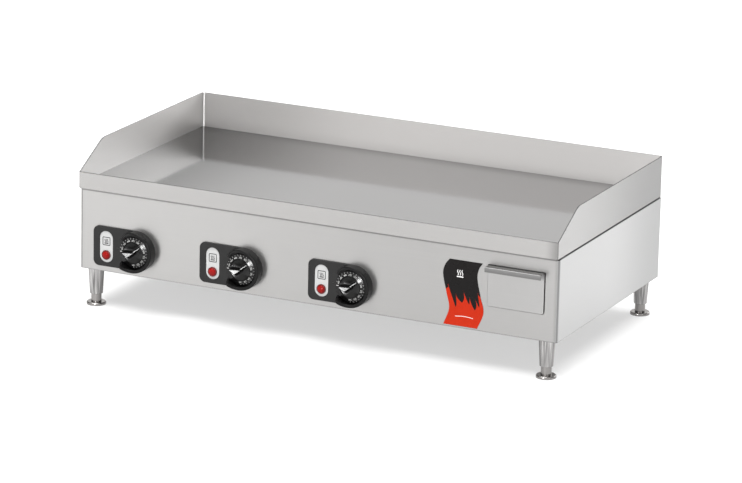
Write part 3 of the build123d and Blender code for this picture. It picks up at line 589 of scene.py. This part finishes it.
def guard(bm):
    """The raised wall round the knob: low at ten o'clock, highest at seven, where its end is hollowed."""
    inner = GUARD_INNER
    outer = BEZEL_RADIUS
    middle = (inner + outer) / 2
    base = BEZEL_THICK - 1
    turns = [radians(22.5) * k for k in range(5)]
    # Section from the inner foot over the rim to the outer foot: (distance from the axis, share of the
    # wall's height, radius rounded there, how far the rounding has turned).
    section = [(inner, share, GUARD_INNER_ROUND, 0.0) for share in (0.0, 0.33, 0.67)]
    section += [(inner + GUARD_INNER_ROUND * (1 - cos(a)), 1.0, GUARD_INNER_ROUND, a) for a in turns]
    section += [(outer - GUARD_OUTER_ROUND * (1 - cos(a)), 1.0, GUARD_OUTER_ROUND, a)
                for a in reversed(turns)]
    section += [(outer, share, GUARD_OUTER_ROUND, 0.0) for share in (0.67, 0.33, 0.0)]
    rows = []
    for s in evenly(0, 1, 110):
        row = []
        for distance, share, rounding, turn in section:
            end = GUARD_BASE_END + (GUARD_RIM_END - GUARD_BASE_END) * share ** 1.6
            angle = GUARD_TOP_END + (end - GUARD_TOP_END) * s
            x = distance * cos(radians(angle))
            z = distance * sin(radians(angle))
            rim = through(UPPER_GUARD if angle > 0 else LOWER_GUARD, x * middle / distance)
            wall = max(1.0, rim - base)
            drop = min(rounding, wall * 0.8)
            height = base + (wall - drop) * share + drop * sin(turn)
            row.append(bm.verts.new((x, -height, z)))
        rows.append(row)
    for low, high in zip(rows, rows[1:]):
        bridge(bm, low, high)
    for row in (rows[0], rows[-1]):
        bm.faces.new(row)


def bezel(zone):
    """The shell with its recess for the label and a raised pointer, and the knob's guard on it."""
    at = knob_axis["knob_" + zone]
    bm = bmesh.new()
    outline = arc(0, 0, BEZEL_RADIUS, -90, 90, 64)
    corner_x = -BEZEL_LEFT + BEZEL_CORNER
    corner_z = BEZEL_RADIUS - BEZEL_CORNER
    outline += arc(corner_x, corner_z, BEZEL_CORNER, 90, 180, 12)
    outline += arc(corner_x, -corner_z, BEZEL_CORNER, 180, 270, 12)
    recess = pill(LABEL_X, LABEL_Z, LABEL_WIDTH + LABEL_GAP, LABEL_LENGTH + LABEL_GAP)
    slab(bm, outline, 0, BEZEL_THICK, 1.0, [(recess, LABEL_BACK), (circle(0, 0, SHAFT_HOLE), None)])
    pointer = [(-34.8, 1.1), (-34.8, -0.9), (-39.5, 0.1)]
    slab(bm, pointer, BEZEL_THICK, BEZEL_THICK + 0.5)
    piece("bezel_shell_" + zone, bm, black, "cabinet", ["bezel_" + zone], at)
    bm = bmesh.new()
    guard(bm)
    piece("knob_guard_" + zone, bm, shaded_guard_black, "cabinet", [], at)


def ruled_frame(bm, middle, size, corner, line, back, front):
    """A flat rectangular frame with round corners, of one line width."""
    outer = rounded_box(*middle, *size, corner)
    hole = rounded_box(*middle, size[0] - 2 * line, size[1] - 2 * line, corner - line)
    slab(bm, outer, back, front, 0, [(hole, None)])


def heat_symbol(bm, x, z, size, line, back):
    """Three rising wavy strokes over a flat bar."""
    front = back + PRINT
    reach = size * 0.36
    level = z - size * 0.34
    ribbon(bm, [(x - reach, level), (x + reach, level)], line * 1.5, back, front)
    for side in (-1, 0, 1):
        wave = []
        for t in evenly(0, 1, 16):
            sway = sin(t * 2 * pi) * size * 0.055
            wave.append((x + side * size * 0.24 + sway, z - size * 0.2 + t * size * 0.56))
        ribbon(bm, wave, line, back, front)


def label(zone):
    """The pill-shaped label with a hole for the lamp, and its framed symbol."""
    at = knob_axis["knob_" + zone]
    bm = bmesh.new()
    slab(bm, pill(LABEL_X, LABEL_Z, LABEL_WIDTH, LABEL_LENGTH), LABEL_BACK, LABEL_FRONT, 0.15,
         [(circle(LABEL_X, LAMP_Z, LAMP_HOLE), None)])
    nodes = ["indicator_labels"] if zone == ZONES[0] else []
    piece("indicator_label_" + zone, bm, white, "cabinet", nodes, at)
    bm = bmesh.new()
    ruled_frame(bm, (LABEL_X, ICON_Z), (ICON_SIZE, ICON_SIZE), ICON_CORNER, ICON_LINE,
                LABEL_FRONT, LABEL_FRONT + PRINT)
    heat_symbol(bm, LABEL_X, ICON_Z, ICON_SIZE * 0.70, 1.3, LABEL_FRONT)
    piece("label_symbol_" + zone, bm, icon_grey, "cabinet", [], at)


LENS_BACK = -1.4
COLLAR_RADIUS = 8.7
DOME_RADIUS = 6.4
DOME_FOOT = 4.1
DOME_RISE = 2.9


def lens(zone):
    """Domed pilot lens with a stepped collar."""
    at = knob_axis["knob_" + zone] + Vector((LABEL_X, 0, LAMP_Z)) * MM
    bm = bmesh.new()
    collar = [(5.6, LENS_BACK), (5.4, LENS_BACK + 0.2), (5.4, LABEL_FRONT), (8.4, LABEL_FRONT),
              (COLLAR_RADIUS, LABEL_FRONT + 0.3), (COLLAR_RADIUS, 3.4), (8.45, 4.0), (7.9, 4.3),
              (7.0, 4.4), (DOME_RADIUS, DOME_FOOT)]
    lathe(bm, collar, 72)
    piece("pilot_lens_collar_" + zone, bm, shaded_collar_red, "cabinet", [], at, sharp=50)
    bm = bmesh.new()
    turns = [radians(90) * k / 12 for k in range(12)]
    dome = [(DOME_RADIUS * cos(a), DOME_FOOT + DOME_RISE * sin(a)) for a in turns]
    stem = [(0, LENS_BACK), (5.3, LENS_BACK), (5.3, 3.6)]
    lathe(bm, stem + dome + [(0, DOME_FOOT + DOME_RISE)], 72)
    nodes = ["pilot_lenses"] if zone == ZONES[0] else []
    piece("pilot_lens_" + zone, bm, red_lens, "cabinet", nodes, at, sharp=50)


# ---- knobs --------------------------------------------------------------------------------------
GRIP_HEIGHT = 23.0             # height over the axis of the sloping plane that tops the grip
GRIP_SLOPE = 0.33
GRIP_TAIL = ((-17.4, 0.8), (-7.3, -7.0), (3.2, 0.7))
GRIP_CREST = ((3.2, 3.0), (12.6, 10.2))
CREST_HALF = 0.9
TAIL_FLANK = 2.0               # distances over which the grip's sides fall to the hollows
CREST_FLANK = 1.3
FLANK_POWER = 1.7
HOLLOW_FLOOR = 12.6
HOLLOW_RISE = 4.0              # from the middle to the hub's edge


def dial_height(radius):
    """The dial's cone, rounded over at the skirt's edge."""
    edge = max(0.0, radius - (SKIRT_RADIUS - SKIRT_ROUND)) / SKIRT_ROUND
    drop = SKIRT_ROUND * (1 - (1 - edge * edge) ** 0.5)
    return DIAL_TOP - DIAL_SLOPE * (radius - HUB_RADIUS) - drop


def outside(x, z, corners):
    """Distance from a point to a convex shape, given by its corners in order, or to a line of two."""
    nearest = 1e9
    sides = set()
    for i, (x0, z0) in enumerate(corners):
        x1, z1 = corners[(i + 1) % len(corners)]
        run_x = x1 - x0
        run_z = z1 - z0
        share = ((x - x0) * run_x + (z - z0) * run_z) / (run_x ** 2 + run_z ** 2)
        share = min(1.0, max(0.0, share))
        nearest = min(nearest, hypot(x - x0 - share * run_x, z - z0 - share * run_z))
        sides.add(run_x * (z - z0) > run_z * (x - x0))
    inside = len(sides) == 1 and len(corners) > 2
    return 0.0 if inside else nearest


def hub_height(radius, angle):
    """Scooped hollows with the grip between them: a broad flat tail that runs into a thin crest."""
    x = radius * cos(angle)
    z = radius * sin(angle)
    hollow = HOLLOW_FLOOR + HOLLOW_RISE * (radius / HUB_RADIUS) ** 2
    top = GRIP_HEIGHT - GRIP_SLOPE * radius * cos(angle - radians(GRIP_ANGLE))
    tail = exp(-(outside(x, z, GRIP_TAIL) / TAIL_FLANK) ** FLANK_POWER)
    crest_gap = max(0.0, outside(x, z, GRIP_CREST) - CREST_HALF)
    crest = exp(-(crest_gap / CREST_FLANK) ** FLANK_POWER)
    return hollow + max(0.0, top - hollow) * max(tail, crest)


def knob_body(zone):
    """Hub, dial and skirt as rings of vertices from the middle outward, closed at the back."""
    bm = bmesh.new()
    segments = 216
    hub_rings = [0.55 * i for i in range(1, 34)] + [HUB_RADIUS - 0.6]
    dial_rings = [HUB_RADIUS, *evenly(HUB_RADIUS + 0.9, SKIRT_RADIUS - SKIRT_ROUND, 9)]
    edge_rings = [SKIRT_RADIUS - SKIRT_ROUND * cos(radians(15 * k)) for k in range(1, 7)]
    turns = [radians(360) * i / segments for i in range(segments)]
    rows = []
    for radius in hub_rings + dial_rings + edge_rings:
        row = []
        for angle in turns:
            height = hub_height(radius, angle) if radius < HUB_RADIUS else dial_height(radius)
            row.append(bm.verts.new((radius * cos(angle), -height, radius * sin(angle))))
        rows.append(row)
    for radius, height in ((SKIRT_RADIUS, SKIRT_BACK + 0.3), (SKIRT_RADIUS - 0.3, SKIRT_BACK),
                           (SKIRT_RADIUS - 2, SKIRT_BACK)):
        rows.append([bm.verts.new((radius * cos(a), -height, radius * sin(a))) for a in turns])
    for low, high in zip(rows, rows[1:]):
        bridge(bm, low, high)
    middle = bm.verts.new((0, -hub_height(0, 0), 0))
    for i in range(segments):
        bm.faces.new((middle, rows[0][i], rows[0][(i + 1) % segments]))
    bm.faces.new(rows[-1])
    piece("knob_body_" + zone, bm, knob_black, "knob_" + zone, ["knob_" + zone],
          knob_axis["knob_" + zone], sharp=52)


TEMPERATURES = range(200, 475, 25)
NUMERAL_RADIUS = 21.9
NUMERAL_SIZE = 3.8
FIRST_ANGLE = -87.0            # degrees, counter-clockwise from three o'clock
NUMERAL_PITCH = 25.2
OFF_ANGLE = 180.0
TICK_SPAN = (24.5, 27.0)       # radii


def numeral(text, size):
    """Flat (x, y) vertices and faces of a printed number, about its middle."""
    curve = bpy.data.curves.new("numeral", "FONT")
    curve.body = text
    curve.size = size
    curve.align_x = "CENTER"
    curve.align_y = "CENTER"
    curve.resolution_u = 3
    curve.offset = size * 0.012
    holder = bpy.data.objects.new("numeral", curve)
    bpy.context.scene.collection.objects.link(holder)
    graph = bpy.context.evaluated_depsgraph_get()
    mesh = bpy.data.meshes.new_from_object(holder.evaluated_get(graph))
    flat = [(v.co.x, v.co.y) for v in mesh.vertices]
    faces = [list(p.vertices) for p in mesh.polygons]
    bpy.data.objects.remove(holder)
    bpy.data.meshes.remove(mesh)
    bpy.data.curves.remove(curve)
    return flat, faces


def on_dial(bm, radius, angle, lift):
    """A vertex on the dial's cone, a little above its surface."""
    return bm.verts.new((radius * cos(angle), -(dial_height(radius) + lift), radius * sin(angle)))


def dial_bar(bm, angle, start, end, width):
    """A printed bar from one radius to another."""
    rows = []
    for lift in (0.0, PRINT):
        row = []
        for radius, side in ((start, -1), (end, -1), (end, 1), (start, 1)):
            row.append(on_dial(bm, radius, angle + side * width / 2 / radius, lift))
        rows.append(row)
    bridge(bm, *rows)
    bm.faces.new(rows[0])
    bm.faces.new(rows[1])


def dial_marks(zone):
    """Temperatures, ticks and the off mark, printed on the dial's cone."""
    bm = bmesh.new()
    for i, value in enumerate(TEMPERATURES):
        middle = radians(FIRST_ANGLE + NUMERAL_PITCH * i)
        flat, faces = numeral(str(value), NUMERAL_SIZE)
        spots = [on_dial(bm, NUMERAL_RADIUS + y, middle - x / NUMERAL_RADIUS, PRINT) for x, y in flat]
        for face in faces:
            bm.faces.new([spots[k] for k in face])
    dial_bar(bm, radians(OFF_ANGLE), HUB_RADIUS + 1.4, SKIRT_RADIUS - 2.4, 1.3)
    at = knob_axis["knob_" + zone]
    piece("dial_marks_" + zone, bm, dial_white, "knob_" + zone, [], at)
    bm = bmesh.new()
    for i in range(2 * len(TEMPERATURES) - 1):
        angle = radians(FIRST_ANGLE + NUMERAL_PITCH * i / 2)
        dial_bar(bm, angle, *TICK_SPAN, 0.95 if i % 2 == 0 else 0.6)
    piece("dial_ticks_" + zone, bm, tick_grey, "knob_" + zone, [], at)


# ---- badge --------------------------------------------------------------------------------------
# Its sides as (height, place across), in mm of the frame.
BADGE_LEFT = ((70.6, 247.8), (100, 257.5), (128, 251.6), (160, 244.7), (176, 248.6), (186.7, 256.7))
BADGE_RIGHT = ((70.0, 310.2), (100, 321.3), (128, 314.8), (160, 308.3), (176, 311.2), (186.0, 317.5))
BADGE_FOOT = 70.3
BADGE_HEAD = 186.4
BADGE_THICK = 0.40
FILM_THICK = 0.06
FLAME_FOOT = 70.6
# Line of the flames from right to left, through tips (share of the badge's width, height, lean) and
# the valleys between them (share, height).
FLAMES = ((1.0, 127), (0.95, 134, 0.03), (0.885, 108), (0.82, 122, -0.03), (0.745, 102),
          (0.67, 124, 0.03), (0.60, 111), (0.51, 135, -0.05), (0.40, 112), (0.29, 129, 0.05),
          (0.19, 103), (0.09, 142, -0.06), (0.0, 133))


def badge_point(share, z):
    left = through(BADGE_LEFT, z)
    return left + (through(BADGE_RIGHT, z) - left) * share, z


def badge_side(share, start, end):
    """Points along the badge from one height to another, at a share of its width."""
    return [badge_point(share, z) for z in evenly(start, end, 40)]


def badge():
    """Black film with red flames over it, a symbol above them and a plain line below."""
    at = Vector((0, knob_axis["knob_1"].y, 0))
    bm = bmesh.new()
    outline = badge_side(1, BADGE_FOOT, BADGE_HEAD) + badge_side(0, BADGE_HEAD, BADGE_FOOT)
    slab(bm, outline, 0, BADGE_THICK, 0.12, steps=2)
    piece("front_badge_film", bm, badge_black, "cabinet", ["front_badge"], at)

    line = []
    for a, b in zip(FLAMES, FLAMES[1:]):
        rising = len(b) == 3
        low, tip = (a, b) if rising else (b, a)
        rise = abs(tip[1] - low[1])
        near_low = (low[0] + (tip[0] - low[0]) * 0.36, low[1] + rise * 0.12)
        near_tip = (tip[0] - tip[2], tip[1] - rise * 0.58)
        handles = (near_low, near_tip) if rising else (near_tip, near_low)
        line += bezier(a[:2], *handles, b[:2], 14)
    line.append(FLAMES[-1])
    right = badge_side(1, FLAME_FOOT, FLAMES[0][1] - 1)
    left = badge_side(0, FLAMES[-1][1] - 1, FLAME_FOOT)
    bm = bmesh.new()
    outline = right + [badge_point(*spot) for spot in line] + left
    slab(bm, outline, BADGE_THICK, BADGE_THICK + FILM_THICK)
    piece("front_badge_flames", bm, badge_red, "cabinet", [], at)

    bm = bmesh.new()
    heat_symbol(bm, *badge_point(0.5, 163), 17, 1.3, BADGE_THICK)
    sweep = [badge_point(0.24 + 0.52 * t, 87 + 1.6 * sin(t * pi)) for t in evenly(0, 1, 16)]
    ribbon(bm, sweep, 0.9, BADGE_THICK + FILM_THICK, BADGE_THICK + 2 * FILM_THICK)
    piece("front_badge_mark", bm, badge_mark, "cabinet", [], at)


# ---- cable gland --------------------------------------------------------------------------------
BORE = 7.0
HEX_RADIUS = 13.2
HEX_BACK = 16.4                # distances from the gland's end
HEX_FRONT = 11.8
DOME_BACK = 11.4
RIBS = 24
RIB_DEPTH = 0.55


def gland():
    """Hexagon body and ribbed dome nut of the cord inlet, open through the middle."""
    low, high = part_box("cable_gland")
    middle = (low + high) / 2
    depth = (high.y - low.y) / MM
    at = Vector((middle.x, low.y, middle.z))
    bm = bmesh.new()
    neck = [(BORE, 0.4), (9.6, 0.4), (10.0, 0.8), (10.0, depth - HEX_BACK - 0.2)]
    lathe(bm, neck, 72, rearward=True)
    body = [(9.0, depth - HEX_BACK), (HEX_RADIUS, depth - HEX_BACK), (HEX_RADIUS, depth - HEX_FRONT),
            (9.0, depth - HEX_FRONT + 0.2)]
    lathe(bm, body, 6, rearward=True)
    start = depth - DOME_BACK
    dome = ((9.0, start), (12.3, start), (12.5, start + 0.6), (12.5, depth - 3.6), (12.0, depth - 1.8),
            (10.8, depth - 0.5), (9.4, depth), (7.4, depth), (BORE, depth - 0.4), (BORE, 0.4))
    rows = []
    for radius, height in dome:
        ribbed = radius > 12.4 and start + 0.3 < height < depth - 2.5
        row = []
        for i in range(6 * RIBS):
            angle = radians(60) * i / RIBS
            reach = radius - (RIB_DEPTH if ribbed and i % 6 < 2 else 0)
            row.append(bm.verts.new((reach * cos(angle), height, reach * sin(angle))))
        rows.append(row)
    for first, second in zip(rows, rows[1:]):
        bridge(bm, first, second)
    piece("cable_gland_nut", bm, black, "cabinet", ["cable_gland"], at, sharp=30)


# ---- rating plate -------------------------------------------------------------------------------
FOIL = 0.45
RULE_HEIGHT = 0.05
RULE_WIDTH = 0.5
PLATE_MARGIN = 5.0             # of the ruled frame, both sides together


def rating_plate():
    """A plain foil plate with ruled lines and no lettering, facing the rear."""
    low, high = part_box("rating_plate")
    middle = (low + high) / 2
    width = (high.x - low.x) / MM
    height = (high.z - low.z) / MM
    at = Vector((middle.x, low.y, middle.z))
    back = -FOIL
    rules = back - RULE_HEIGHT
    bm = bmesh.new()
    slab(bm, rounded_box(0, 0, width, height, 4), back, 0)
    piece("rating_plate_foil", bm, silver, "cabinet", ["rating_plate"], at)
    bm = bmesh.new()
    ruled_frame(bm, (0, 0), (width - PLATE_MARGIN, height - PLATE_MARGIN), 2.4, RULE_WIDTH, rules, back)
    for row in (-1, 0, 1):
        level = row * height / 5
        ribbon(bm, [(-width * 0.4, level), (width * 0.4, level)], RULE_WIDTH, rules, back)
    piece("rating_plate_rules", bm, icon_grey, "cabinet", [], at)


# ---- stage, lights and camera -------------------------------------------------------------------
FLOOR_SIZE = 60.0
FLOOR_GLOW = (0.50, 0.97)      # under the griddle and away from it
GLOW_RISE = (0.95, 2.4)        # distances from the middle between which it rises


def add_floor():
    """A pale, softly glowing tabletop that runs out of view, brighter away from the griddle."""
    mesh = bpy.data.meshes.new("floor")
    half = FLOOR_SIZE / 2
    around = ((-half, -half), (half, -half), (half, half), (-half, half))
    mesh.from_pydata([(x, y, cad_low.z) for x, y in around], [], [(0, 1, 2, 3)])
    finish = Finish("floor_white", Roughness=0.9)
    cloud = finish.noise(0.8, 2.0)
    away = finish.add("VectorMath", {0: finish.place}, operation="LENGTH").outputs["Value"]
    glow = finish.span(away, *FLOOR_GLOW, *GLOW_RISE)
    finish.use(Base_Color=finish.tint(cloud, (0.245, 0.245, 0.245), (0.255, 0.255, 0.255)),
               Emission_Color=(1.0, 1.0, 1.0, 1), Emission_Strength=glow)
    mesh.materials.append(finish.material)
    floor = bpy.data.objects.new("floor", mesh)
    bpy.context.scene.collection.objects.link(floor)


def add_world():
    """Studio surroundings: brightest low in front, dimmer behind and overhead, dark at both sides."""
    world = bpy.data.worlds.new("studio")
    bpy.context.scene.world = world
    world.use_nodes = True
    nodes = Nodes(world.node_tree)
    way = nodes.add("TexCoord").outputs["Generated"]
    parts = nodes.add("SeparateXYZ", {0: way}).outputs
    front = nodes.smooth(parts["Y"], -0.9, 0.9, 1.5, 1.08)
    rise = nodes.smooth(parts["Z"], 0.28, 0.62, 0.0, 1.0)
    level = nodes.mix(rise, front, 0.86)
    sides = nodes.smooth(nodes.math("ABSOLUTE", parts["X"]), 0.6, 0.92, 1.0, 0.2)
    nodes.set(world.node_tree.nodes["Background"],
              {"Strength": nodes.math("MULTIPLY", level, sides), "Color": (1.0, 0.995, 0.985, 1)})


def area_light(name, place, aim, width, height, power, spread=180, mirrored=True, diffused=True):
    """A soft box of so many watts at a place, turned to an aim.

    A light that is not mirrored doesn't show in gloss, and one that is not diffused only shows there.
    """
    lamp = bpy.data.lights.new(name, "AREA")
    lamp.spread = radians(spread)
    lamp.shape = "RECTANGLE"
    lamp.size = width
    lamp.size_y = height
    lamp.energy = power
    holder = bpy.data.objects.new(name, lamp)
    holder.location = place
    holder.rotation_mode = "QUATERNION"
    holder.rotation_quaternion = (Vector(aim) - Vector(place)).to_track_quat("-Z", "Y")
    holder.visible_camera = False
    holder.visible_glossy = mirrored
    holder.visible_diffuse = diffused
    bpy.context.scene.collection.objects.link(holder)


def add_lights():
    """Broad light from above, a low box in front for the fascia, and weak boxes for the rest."""
    target = (cad_low + cad_high) / 2
    area_light("overhead_box", (-0.5, -0.35, 2.6), (-0.25, -0.2, 0), 2.6, 2.2, 145, diffused=False)
    area_light("ceiling_panel", (0, -0.2, 2.6), (0, -0.2, 0), 4.2, 3.6, 335, mirrored=False)
    area_light("front_box", (0.13, -4.2, 0.46), target, 1.0, 0.34, 95)
    area_light("right_box", (3.0, -1.6, 0.9), target, 0.4, 0.8, 6)
    area_light("back_right_box", (1.1, 2.2, 1.15), target, 1.7, 0.9, 15)
    area_light("left_pool", (-1.0, -0.9, 1.6), (-1.0, -0.9, 0), 0.8, 0.8, 7, 70, mirrored=False)


CAMERA_PLACE = Vector((3.0662, -6.50025, 2.1842))
CAMERA_YAW = -0.44023          # radians
CAMERA_PITCH = 0.27913
CAMERA_ROLL = 0.02228
CAMERA_LENS = 205.87           # mm, on a sensor 36 mm wide


def add_camera():
    """A long lens from the right and above."""
    ahead = Vector((sin(CAMERA_YAW) * cos(CAMERA_PITCH),
                    cos(CAMERA_YAW) * cos(CAMERA_PITCH),
                    -sin(CAMERA_PITCH)))
    level = Vector((cos(CAMERA_YAW), -sin(CAMERA_YAW), 0))
    upright = level.cross(ahead)
    right = level * cos(CAMERA_ROLL) + upright * sin(CAMERA_ROLL)
    up = upright * cos(CAMERA_ROLL) - level * sin(CAMERA_ROLL)
    data = bpy.data.cameras.new("camera")
    data.sensor_width = 36
    data.lens = CAMERA_LENS
    data.clip_end = 200
    camera = bpy.data.objects.new("camera", data)
    turn = Matrix((right, up, -ahead)).transposed().to_4x4()
    camera.matrix_world = Matrix.Translation(CAMERA_PLACE) @ turn
    bpy.context.scene.collection.objects.link(camera)
    bpy.context.scene.camera = camera


# ---- making -------------------------------------------------------------------------------------
add_camera()
dress_cad_nodes()
for zone in ZONES:
    bezel(zone)
    label(zone)
    lens(zone)
    knob_body(zone)
    dial_marks(zone)
badge()
gland()
rating_plate()
add_floor()
add_world()
add_lights()
bpy.context.scene.view_settings.view_transform = "Standard"
